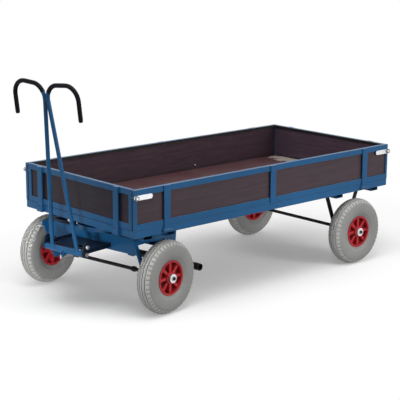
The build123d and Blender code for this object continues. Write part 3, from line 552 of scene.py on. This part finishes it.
# %% [markdown]
# ** Grey rubber.** The tyres are light grey, so that they leave no marks on a hall floor. The running surface
# is paler than the walls, partly because it is scuffed and dusty and partly as a painted highlight, and the
# grooves are darker, partly dirt and partly painted shade. The tyre's mesh, made further down, marks each of
# its points with how much it belongs to the running surface, and the rubber reads that mark.

# %% Tyre rubber
def tyre_rubber():
    material, tree, shader = new_finish("grey_rubber", Specular_IOR_Level=0.3)
    running = wire(tree, "ShaderNodeAttribute", attribute_name="running").outputs["Fac"]
    rubber = use(tree, uneven_colour, Colour=(0.29, 0.29, 0.284, 1), Patch_Size=14.0, Drift=0.14)
    # The running surface is paler: partly scuffs and dust, partly a painted highlight.
    scuffed_and_lit = use(tree, uneven_colour, Colour=(0.55, 0.545, 0.53, 1), Patch_Size=40.0, Drift=0.22)
    # The grooves are darker: partly dirt, partly painted shade.
    shade_and_dirt = use(tree, corner_shade_and_grime, Reach=0.006, Patch_Size=40.0, Amount=0.75)
    powder = use(tree, settled_dust, Patch_Size=15.0, Amount=0.25)
    rubber = blend(tree, running, rubber, scuffed_and_lit)
    rubber = blend(tree, powder, rubber, (0.50, 0.48, 0.45, 1))
    join(tree, shader, "Base Color", blend(tree, shade_and_dirt, rubber, (0.07, 0.068, 0.064, 1)))
    join(tree, shader, "Roughness", remap(tree, running, 0.0, 1.0, 0.58, 0.82))
    emboss(tree, shader, use(tree, pebbled_skin, Grain_Size=700.0, Waves=0.6), depth=0.0002)
    return material


def black_vinyl():
    material, tree, shader = new_finish("black_vinyl", Specular_IOR_Level=0.08)
    tone = use(tree, uneven_colour, Colour=(0.004, 0.005, 0.009, 1), Patch_Size=25.0, Drift=0.3)
    scuffs = use(tree, worn_edges, Width=0.002, Patch_Size=80.0, Amount=0.3)
    powder = use(tree, settled_dust, Patch_Size=20.0, Amount=0.04)
    tone = blend(tree, powder, tone, dust_colour)
    join(tree, shader, "Base Color", blend(tree, scuffs, tone, (0.09, 0.09, 0.095, 1)))
    join(tree, shader, "Roughness", remap(tree, powder, 0.0, 0.04, 0.42, 0.62))
    emboss(tree, shader, use(tree, pebbled_skin, Grain_Size=1200.0, Waves=0.3), depth=0.00015)
    return material


rubber = tyre_rubber()
vinyl = black_vinyl()
print("rubber", rubber.name, "and grips", vinyl.name)

# %% [markdown]
# ## Finishes on the measured parts
# The record says which finish each part has. A few kinds of part have their own variant: the end boards
# differ by their grain, the front one is darker as painted shade and the rear one paler as painted light. The
# frames have their black band, the drawbar's arms their near-black blue as painted shade and the stop bolts
# their shafts darkened as painted shade, and the collars at the pivot are blackened.

# %% Hand out the finishes
finish_of = {
    "blue_paint": blue_enamel,
    "dark_steel": dark_steel,
    "zinc_plate": zinc,
    "bearing_steel": bearing_steel,
    "deck_plywood": deck_film,
    "wall_plywood": side_board,
    "grey_tyre": rubber,
    "red_rim": red_enamel,
    "black_plug": vinyl,
}
finish_of_kind = {
    "end_panel": end_board_painted_shade,
    "end_panel_rear": rear_board_painted_light,
    "side_frame": side_frame_enamel,
    "end_frame": end_frame_enamel,
    "drawbar_arms": arm_enamel_painted_shade,
    "stop_bolts": bolt_zinc,
    "pivot_collars": dark_steel,
}
for name, part in nodes.items():
    finish = finish_of[slot_of[name]]
    for kind, own_finish in finish_of_kind.items():
        if name.startswith(kind):
            finish = own_finish
    part.data.materials.clear()
    part.data.materials.append(finish)
print("finishes on", len(nodes), "parts")

# %% [markdown]
# ## Soft edges on the steel
# Rolled and cut steel never has knife edges. A chain of modifiers rounds them without touching the part
# itself: the seams of the mesh are welded, flat faces are joined, edges are bevelled, and the normals are
# weighted so that the large faces stay flat in the light.

# %% Round the edges
sharp_parts = {
    "end_rail": 0.003, "side_rail": 0.003, "carrier_bars": 0.002, "cross_members": 0.002,
    "end_frame": 0.0020, "side_frame": 0.0025, "end_panel": 0.001, "side_panel": 0.001,
    "stake_pockets": 0.0012, "bogie_channels": 0.0025, "front_axle_brackets": 0.0015,
    "rear_axle_brackets": 0.0015, "drawbar_arms": 0.0015, "latch_lever": 0.0012, "rim_": 0.0025,
    "brake_arms": 0.001, "brake_hangers": 0.001, "brake_lug": 0.001, "side_hinge_lugs": 0.001,
    "turntable": 0.001, "stop_bolts": 0.0012, "pivot_collars": 0.0015,
}
seam_gap, flat_limit, edge_limit = 0.00002, radians(0.5), radians(35)


def round_edges(part, width):
    weld = part.modifiers.new("weld_seams", "WELD")
    weld.merge_threshold = seam_gap
    flatten = part.modifiers.new("join_flats", "DECIMATE")
    flatten.decimate_type = "DISSOLVE"
    flatten.angle_limit = flat_limit
    bevel = part.modifiers.new("round_edges", "BEVEL")
    bevel.width = width
    bevel.segments = 2
    bevel.limit_method = "ANGLE"
    bevel.angle_limit = edge_limit
    part.modifiers.new("flat_light", "WEIGHTED_NORMAL").keep_sharp = False


rounded = 0
for name, part in nodes.items():
    for start_of_name, width in sharp_parts.items():
        if name.startswith(start_of_name):
            round_edges(part, width)
            rounded += 1
print("rounded", rounded, "parts")

# %% [markdown]
# ## Tools for new pieces
# `skin` joins rings of points with faces, and `turned` spins an outline round an axle like a lathe, which
# suits hubs, valves and knobs. `add_piece` makes the object, and gives it a finish and a body to ride on.

# %% Lathe and piece helpers
def skin(shape, rings, closed=True):
    """Join neighbouring rings of points with faces, and, if closed, the last ring with the first."""
    for ring, after in zip(rings, rings[1:] + rings[:1] if closed else rings[1:]):
        for spot in range(len(ring)):
            following = (spot + 1) % len(ring)
            shape.faces.new((ring[spot], ring[following], after[following], after[spot]))


def turned(name, outline, segments):
    """Spin a closed outline of (along the axle, radius) points round the Y axis."""
    shape = bmesh.new()
    rings = []
    for step in range(segments):
        angle = tau * step / segments
        rings.append([shape.verts.new((r * cos(angle), y, r * sin(angle))) for y, r in outline])
    skin(shape, rings)
    return as_mesh(name, shape)


def as_mesh(name, shape, crease=35):
    """Finish a mesh: faces point outward, round stretches look smooth, creases stay sharp."""
    bmesh.ops.recalc_face_normals(shape, faces=shape.faces)
    mesh = bpy.data.meshes.new(name)
    shape.to_mesh(mesh)
    shape.free()
    mesh.shade_smooth()
    mesh.set_sharp_from_angle(angle=radians(crease))
    return mesh


def add_piece(name, mesh, place, body, finish):
    """Copy a mesh to its place, and let the new piece ride on a body of the frame."""
    mesh = mesh.copy()
    mesh.name = name
    mesh.transform(place)
    mesh.materials.append(finish)
    piece = bpy.data.objects.new(name, mesh)
    scene.collection.objects.link(piece)
    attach(piece, body)
    return piece


corners = ("front_left", "front_right", "rear_left", "rear_right")
sides = (("left", 1), ("right", -1))
forward, upward = Vector((1, 0, 0)), Vector((0, 0, 1))


def wheel_place(corner):
    """The wheel's own axes: Y along the axle to the outside, Z up."""
    joint = joints[f"wheel_{corner}_spin"]
    middle = Vector(joint["pos_m"])
    axle = Vector(joint["axis"]).normalized()
    if axle.y * middle.y < 0:
        axle = -axle
    axes = Matrix((axle.cross(upward), axle, upward)).transposed().to_4x4()
    return Matrix.Translation(middle) @ axes


print("wheels at", [[round(v, 3) for v in wheel_place(corner).translation] for corner in corners])

# %% [markdown]
# ## Tyres
# An air-filled tyre of this kind has a round crown with four zigzag grooves, small blocks on its shoulders
# and smooth bulging walls with two thin moulded ridges. A picture of the tread on a plain ring would show
# flat at the rim of the wheel, so the tread is cut into the mesh. Every ring of the section has its offset,
# its radius, how far it sways with the zigzag and how deep a shoulder slot cuts into it, and the rings are
# spun in short steps.

# %% Tyre sizes
tyre_low, tyre_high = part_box("tyre_rear_left")
tyre_radius, crown_curve = (tyre_high[2] - tyre_low[2]) / 2, 0.0605
sidewall_points = ((0.184, 0.041), (0.146, 0.050), (0.095, 0.035))
groove_middles, groove_half, groove_depth = (0.008, 0.024), 0.0026, 0.0055
groove_slope = 0.0006
shoulder_start, shoulder_offsets = 0.0305, (0.0312, 0.0355, 0.0400)
wall_rings = (  # the radius, 1 on a ridge, and the share of the slots' depth
    (0.179, 0, 1), (0.1745, 0, 0.7), (0.1735, 0, 0), (0.168, 0, 0), (0.167, 1, 0), (0.1655, 1, 0),
    (0.1645, 0, 0), (0.158, 0, 0), (0.150, 0, 0), (0.142, 0, 0), (0.133, 0, 0), (0.124, 0, 0), (0.123, 1, 0),
    (0.1205, 1, 0), (0.1195, 0, 0), (0.111, 0, 0), (0.103, 0, 0), (0.097, 0, 0), (0.095, 0, 0),
)
sway = 0.0017
pitches = 46
pitch_steps = (0.0, 0.04, 0.26, 0.30, 0.5, 0.75)
slot_steps = (1, 2)
slot_depth = 0.0045
ridge_height = 0.0004


def crown_radius(offset):
    return tyre_radius - crown_curve + sqrt(crown_curve**2 - offset**2)


def wall_offset(radius):
    """The sidewall's bulge: the parabola through its three measured points."""
    total = 0.0
    for here, offset in sidewall_points:
        share = offset
        for other, _ in sidewall_points:
            if other != here:
                share *= (radius - other) / (here - other)
        total += share
    return total


def half_section():
    """Rings from the crown outward to the bead: (offset, radius, zigzag share, slot depth)."""
    rings = []
    for middle in groove_middles:
        for side in (-1, 1):
            edge = middle + side * groove_half
            foot = middle + side * (groove_half - groove_slope)
            top = (edge, crown_radius(edge), 1.0, 0.0)
            bottom = (foot, crown_radius(foot) - groove_depth, 1.0, 0.0)
            rings += [top, bottom] if side < 0 else [bottom, top]
    rings.append((shoulder_start, crown_radius(shoulder_start), 0.0, 0.0))
    rings += [(offset, crown_radius(offset), 0.0, slot_depth) for offset in shoulder_offsets]
    for radius, ridge, slot in wall_rings:
        rings.append((wall_offset(radius) + ridge * ridge_height, radius, 0.0, slot * slot_depth))
    return rings


print("half section of", len(half_section()), "rings")

# %% Tyre mesh
def tyre_mesh():
    half = half_section()
    other_half = [(-offset, radius, zigzag, depth) for offset, radius, zigzag, depth in reversed(half)]
    section = other_half + [(0.0, tyre_radius, 0.0, 0.0)] + half
    shape = bmesh.new()
    rings = []
    for pitch in range(pitches):
        for number, share in enumerate(pitch_steps):
            angle = tau * (pitch + share) / pitches
            wave = sway * (1 - 4 * abs(share - 0.5))
            ring = []
            for offset, radius, zigzag, depth in section:
                r = radius - (depth if number in slot_steps else 0.0)
                ring.append(shape.verts.new((r * cos(angle), offset + zigzag * wave, r * sin(angle))))
            rings.append(ring)
    skin(shape, rings)
    return as_mesh("tyre", shape, crease=30)


def mark_running(mesh):
    """Store on each point how much it belongs to the running surface."""
    mark = mesh.attributes.new("running", "FLOAT", "POINT")
    for vertex, value in zip(mesh.vertices, mark.data):
        depth = crown_radius(vertex.co.y) - sqrt(vertex.co.x**2 + vertex.co.z**2)
        value.value = min(max(1 - depth / groove_depth, 0.0), 1.0)


tyre = tyre_mesh()
mark_running(tyre)
for corner in corners:
    place, body = wheel_place(corner), f"wheel_{corner}"
    piece = add_piece(f"dressed_tyre_{corner}", tyre, place, body, rubber)
    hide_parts(f"tyre_{corner}")
print("tyre of", len(tyre.polygons), "faces, four times")

# %% [markdown]
# ## Hubs and valves
# Each hub is a turned steel tube with a ball bearing pressed into both ends. A zinc-plated shield closes the
# bearing, so from outside we see one bright ring round the dark end of the axle, with a fine groove where the
# shield is rolled into the outer ring. The frame gives the hub's length and radius.

# %% Hubs
hub_low, hub_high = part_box("hub_rear_left")
hub_half = (hub_high[1] - hub_low[1]) / 2
hub_radius = (hub_high[2] - hub_low[2]) / 2
bore_radius, bore_chamfer, chamfer = 0.01005, 0.0006, 0.0014
shield_sunk, groove_sunk = 0.0004, 0.0009
groove_radius, groove_step = 0.0195, 0.0004
hub_segments = 64
hub_end = [
    (hub_half - shield_sunk - bore_chamfer, bore_radius),
    (hub_half - shield_sunk, bore_radius + bore_chamfer),
    (hub_half - shield_sunk, groove_radius - 2 * groove_step),
    (hub_half - groove_sunk, groove_radius - groove_step),
    (hub_half - groove_sunk, groove_radius + groove_step),
    (hub_half, groove_radius + 2 * groove_step),
    (hub_half, hub_radius - chamfer),
    (hub_half - chamfer, hub_radius),
]
other_end = [(-along, radius) for along, radius in reversed(hub_end)]
hub = turned("hub", hub_end + other_end, hub_segments)
for corner in corners:
    place, body = wheel_place(corner), f"wheel_{corner}"
    piece = add_piece(f"bearing_hub_{corner}", hub, place, body, zinc)
    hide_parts(f"hub_{corner}")
print("hub of", len(hub.polygons), "faces, four times")

# %% [markdown]
# A valve stands in one of the rim's pockets on the outer side: a black rubber foot, a thin stem and a ribbed
# cap. It is turned on the lathe, and the cap's grip ribs come from letting every second segment stand proud.

# %% Valves
valve_from_axle, web_half = 0.070, 0.012
valve_foot = [(-0.001, 0.0001), (-0.001, 0.0075), (0.002, 0.0072), (0.006, 0.0046)]
stem_top = [(0.010, 0.0040)]
valve_cap = [(0.0102, 0.0052), (0.020, 0.0050), (0.0225, 0.0040), (0.0232, 0.0001)]
valve_outline = [(web_half + height, radius) for height, radius in valve_foot + stem_top + valve_cap]
cap_start = web_half + 0.0101
rib_share, valve_segments = 0.92, 32


def knurl(mesh, outline, chosen):
    """Draw in the chosen points of every second segment, which leaves ribs for the fingers."""
    for number, vertex in enumerate(mesh.vertices):
        if (number // len(outline)) % 2 and chosen(vertex.co):
            vertex.co.x *= rib_share
            vertex.co.z *= rib_share


valve = turned("valve", valve_outline, valve_segments)
knurl(valve, valve_outline, lambda point: point.y > cap_start)
pocket_turn = Matrix.Rotation(pi / 8, 4, "Y")
for corner in corners:
    place = wheel_place(corner) @ pocket_turn @ Matrix.Translation((valve_from_axle, 0, 0))
    add_piece(f"valve_{corner}", valve, place, f"wheel_{corner}", vinyl)
print("valve of", len(valve.polygons), "faces, four times")

# %% [markdown]
# ## Handle grips
# The two hooks at the top of the drawbar wear black vinyl grips, so that cold steel doesn't bite the hands. A
# grip is a sleeve that follows the hook: up to the bend, over, and down to the plug. We rebuild the hook's
# line from its corners and bend radii, and lay rings along it. Shallow ribs and a rolled lip show that it is
# moulded.

# %% The hook's line
steer_turn = Matrix.Rotation(atan2(-swing["axis"][0], swing["axis"][1]), 4, "Z")
rest_lean = Matrix.Rotation(radians(7.5), 4, "Y")
drawbar_place = Matrix.Translation(pivot) @ steer_turn @ rest_lean
handle_foot, handle_top, handle_rise = 0.0954, 0.0036, 0.904
hook_rise, hook_width, hook_drop = 0.018, 0.2311, 0.181
hook_bends = (0.080, 0.079)
tube_radius = 0.011
bend_step = radians(4)


def hook_line(side):
    """Points along one handle tube in the drawbar's own plane, with its two bends as arcs."""
    far = side * (handle_top + hook_width)
    stops = [
        Vector((0, side * handle_foot, 0)),
        Vector((0, side * handle_top, handle_rise)),
        Vector((0, far, handle_rise + hook_rise)),
        Vector((0, far, handle_rise + hook_rise - hook_drop)),
    ]
    line = [stops[0]]
    for before, corner, after, bend in zip(stops, stops[1:], stops[2:], hook_bends):
        back, ahead = (before - corner).normalized(), (after - corner).normalized()
        half_angle = back.angle(ahead) / 2
        middle = corner + (back + ahead).normalized() * bend / sin(half_angle)
        first = corner + back * bend / tan(half_angle) - middle
        last = corner + ahead * bend / tan(half_angle) - middle
        sweep = first.angle(last)
        steps = ceil(sweep / bend_step)
        for step in range(steps + 1):
            turned_by = sweep * step / steps
            line.append(middle + (first * sin(sweep - turned_by) + last * sin(turned_by)) / sin(sweep))
    return line + [stops[-1]]


def walk(line, spacing):
    """Even steps along a line: (point, direction, distance so far)."""
    lengths = [(b - a).length for a, b in zip(line, line[1:])]
    total = sum(lengths)
    count = round(total / spacing)
    spots = []
    for number in range(count + 1):
        left = total * number / count
        spot = 0
        while spot < len(lengths) - 1 and left > lengths[spot]:
            left -= lengths[spot]
            spot += 1
        direction = (line[spot + 1] - line[spot]).normalized()
        spots.append((line[spot] + direction * left, direction, total * number / count))
    return spots


print("hook line of", len(hook_line(1)), "points")

# %% Rod helper
def swept(name, spots, radius_at, across, points, closed=False):
    """A round rod along a line; its radius may change with the distance along it."""
    shape = bmesh.new()
    rings = []
    for point, direction, along in spots:
        beside = direction.cross(across).normalized()
        upright = beside.cross(direction)
        radius = radius_at(along)
        ring = []
        for number in range(points):
            angle = tau * number / points
            ring.append(shape.verts.new(point + radius * (cos(angle) * upright + sin(angle) * beside)))
        rings.append(ring)
    skin(shape, rings, closed)
    if not closed:
        shape.faces.new(rings[0])
        shape.faces.new(rings[-1])
    return as_mesh(name, shape, crease=60)


print("rod helper ready")

# %% Grip sleeves
grip_start, grip_step = 0.872, 0.003
grip_wall, grip_lip, lip_length, grip_end = 0.0009, 0.0006, 0.007, 0.0001
rib_height, rib_spacing = 0.0004, 0.012
grip_points = 20


def grip_mesh(side):
    spots = [spot for spot in walk(hook_line(side), grip_step) if spot[2] >= grip_start]
    first, last = spots[0][2], spots[-1][2]

    def sleeve_radius(along):
        if along in (first, last):
            return tube_radius + grip_end
        lip = grip_lip if along < first + lip_length else 0.0
        rib = rib_height * max(0.0, cos(tau * along / rib_spacing)) ** 2
        return tube_radius + grip_wall + rib + lip

    return swept("grip", spots, sleeve_radius, forward, grip_points)


def keep_inside(piece):
    """Press a piece's points back into the box of the bare parts."""
    for vertex in piece.data.vertices:
        vertex.co = [min(max(value, low), high) for value, low, high in zip(vertex.co, *cad_box)]


for name, side in sides:
    grip = grip_mesh(side)
    keep_inside(add_piece(f"hook_grip_{name}", grip, drawbar_place, "drawbar", vinyl))
    print("grip of", len(grip.polygons), "faces on the", name)

# %% [markdown]
# ## Weld beads
# Tubes, arms and brackets are welded. A weld freezes in small steps while the torch moves on, so its bead has
# even ripples, and the paint goes over it. We lay a thin rod along each seam and let its radius rise and
# fall. The seam of a handle tube on the round cross tube is a saddle: its height follows from the two radii.

# %% Beads on the drawbar and the bogie
bead_radius, bead_ripple, ripple_length = 0.0022, 0.0005, 0.0034
tube_low, tube_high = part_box("drawbar_cross_tube")
cross_tube_radius = (tube_high[2] - tube_low[2]) / 2
steer_x, steer_y, _ = joints["steer"]["pos_m"]
bogie_place = Matrix.Translation((steer_x, steer_y, 0)) @ steer_turn
channel_face, arm_middle, arm_half, channel_end = 0.105, 0.148, 0.005, 0.340
arm_low, arm_high, channel_low, channel_high = -0.178, -0.152, -0.193, -0.106
meeting_depth, meeting_heights = 0.003, (0.820, 0.841)
seam_steps, bead_points = 48, 10


def bead(line, across, closed=False):
    """A rippled rod along a seam."""

    def rippled(along):
        return bead_radius + bead_ripple * abs(cos(pi * along / ripple_length))

    spots = walk(line, ripple_length / 4)
    return swept("bead", spots[:-1] if closed else spots, rippled, across, bead_points, closed)


def foot_seam(side):
    """The line where a handle tube meets the cross tube."""
    slope = (handle_foot - handle_top) / handle_rise
    seam = []
    for step in range(seam_steps + 1):
        angle = tau * step / seam_steps
        ahead, aside = tube_radius * cos(angle), tube_radius * sin(angle)
        height = sqrt(cross_tube_radius**2 - ahead**2)
        seam.append(Vector((ahead, side * (handle_foot - slope * height) + aside, height)))
    return seam


def gather(name, copies):
    """One mesh from many (mesh, place) pairs."""
    shape = bmesh.new()
    for mesh, place in copies:
        before = len(shape.verts)
        shape.from_mesh(mesh)
        shape.verts.ensure_lookup_table()
        bmesh.ops.transform(shape, matrix=place, verts=shape.verts[before:])
    return as_mesh(name, shape)


handle_beads = [(bead(foot_seam(side), upward, closed=True), drawbar_place) for _, side in sides]
for face in (1, -1):
    line = [Vector((face * meeting_depth, 0, height)) for height in meeting_heights]
    handle_beads.append((bead(line, forward), drawbar_place))
welds = gather("handle_welds", handle_beads)
add_piece("handle_welds", welds, Matrix(), "drawbar", blue_enamel)
seams = [(aside, channel_low, channel_high) for aside in (channel_end, -channel_end)]
for middle in (arm_middle, -arm_middle):
    seams += [(middle + edge, arm_low, arm_high) for edge in (arm_half, -arm_half)]
bogie_beads = []
for aside, low, high in seams:
    line = [Vector((channel_face, aside, low)), Vector((channel_face, aside, high))]
    bogie_beads.append((bead(line, forward), bogie_place))
welds = gather("bogie_welds", bogie_beads)
add_piece("bogie_welds", welds, Matrix(), "bogie", blue_enamel)
print("beads", len(handle_beads), "on the drawbar and", len(bogie_beads), "on the bogie")

# %% [markdown]
# ## Latch knobs
# Each latch lever turns on a spindle near the end of a long wall, and outside the spindle ends in a dark
# ribbed knob. The knob is turned on the lathe like the valve cap, with a dished face, and it rides on its
# lever.

# %% Latch knobs
knob_foot, knob_radius, ribs_from = 0.4934, 0.0128, 0.0126
knob_skirt = [(0.0, 0.0002), (0.0, knob_radius - 0.001), (0.001, knob_radius), (0.008, knob_radius)]
knob_face = [(0.0096, knob_radius - 0.0016), (0.0102, 0.0085), (0.0094, 0.0072), (0.0090, 0.0002)]
knob_outline, knob_segments = knob_skirt + knob_face, 48
knob = turned("knob", knob_outline, knob_segments)
knurl(knob, knob_outline, lambda point: sqrt(point.x**2 + point.z**2) > ribs_from)
for corner in corners:
    spindle = Vector(joints[f"latch_{corner}_turn"]["pos_m"])
    side, half_turn = (1, 0) if spindle.y > 0 else (-1, pi)
    place = Matrix.Translation((spindle.x, side * knob_foot, spindle.z)) @ Matrix.Rotation(half_turn, 4, "Z")
    add_piece(f"latch_knob_{corner}", knob, place, f"latch_{corner}", vinyl)
print("knob of", len(knob.polygons), "faces, four times")

# %% [markdown]
# ## Screws
# On the inner face of each long wall one zinc-plated screw shows, with a round head and a cross recess. The
# head is a dome of rings, its flat top is filled around a plus-shaped hole, and the hole has its own walls
# and floor, so that light falls into it.

# %% Screw head
head_radius, head_height, head_points = 0.0048, 0.0022, 24
dome_levels = ((0.0, 1.0), (0.35, 1.0), (0.70, 0.92), (0.92, 0.76), (1.0, 0.60))
arm_reach, arm_width, recess_floor, recess_taper = 0.42, 0.11, 0.35, 0.8
plus_points = []
plus_arm = [(arm_reach, -arm_width), (arm_reach, arm_width), (arm_width, arm_width)]
for _ in range(4):
    plus_points += plus_arm
    plus_arm = [(-z, x) for x, z in plus_arm]


def screw_mesh():
    """A screw head that stands on the XZ plane and points along Y."""
    shape = bmesh.new()

    def loop(points, height, reach):
        wide, high = head_radius * reach, head_height * height
        return [shape.verts.new((x * wide, high, z * wide)) for x, z in points]

    angles = [tau * number / head_points for number in range(head_points)]
    circle = [(cos(angle), sin(angle)) for angle in angles]
    dome = [loop(circle, height, reach) for height, reach in dome_levels]
    skin(shape, dome, closed=False)
    shape.faces.new(dome[0])
    rim, bottom = loop(plus_points, 1.0, 1.0), loop(plus_points, recess_floor, recess_taper)
    skin(shape, [rim, bottom], closed=False)
    shape.faces.new(bottom)
    border = []
    for ring in (dome[-1], rim):
        border += [shape.edges.get((a, b)) for a, b in zip(ring, ring[1:] + ring[:1])]
    bmesh.ops.triangle_fill(shape, edges=border, use_beauty=True)
    return as_mesh("screw", shape)


screw = screw_mesh()
print("screw head of", len(screw.polygons), "faces")

# %% Screws in the boards
wall_screw_x, wall_screw_z = -0.27, 0.022


def driven(place, outward):
    """Where a screw head sits, with its top towards the given direction."""
    turn = Vector((0, 1, 0)).rotation_difference(Vector(outward))
    return Matrix.Translation(place) @ turn.to_matrix().to_4x4()


for name, side in sides:
    board_low, board_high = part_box(f"side_panel_{name}")
    inner = board_low[1] if side > 0 else board_high[1]
    place = driven((wall_screw_x, inner, wall_screw_z), (0, -side, 0))
    add_piece(f"board_screw_{name}", screw, place, f"side_wall_{name}", zinc)
print("screws at", wall_screw_x, "in both long walls")
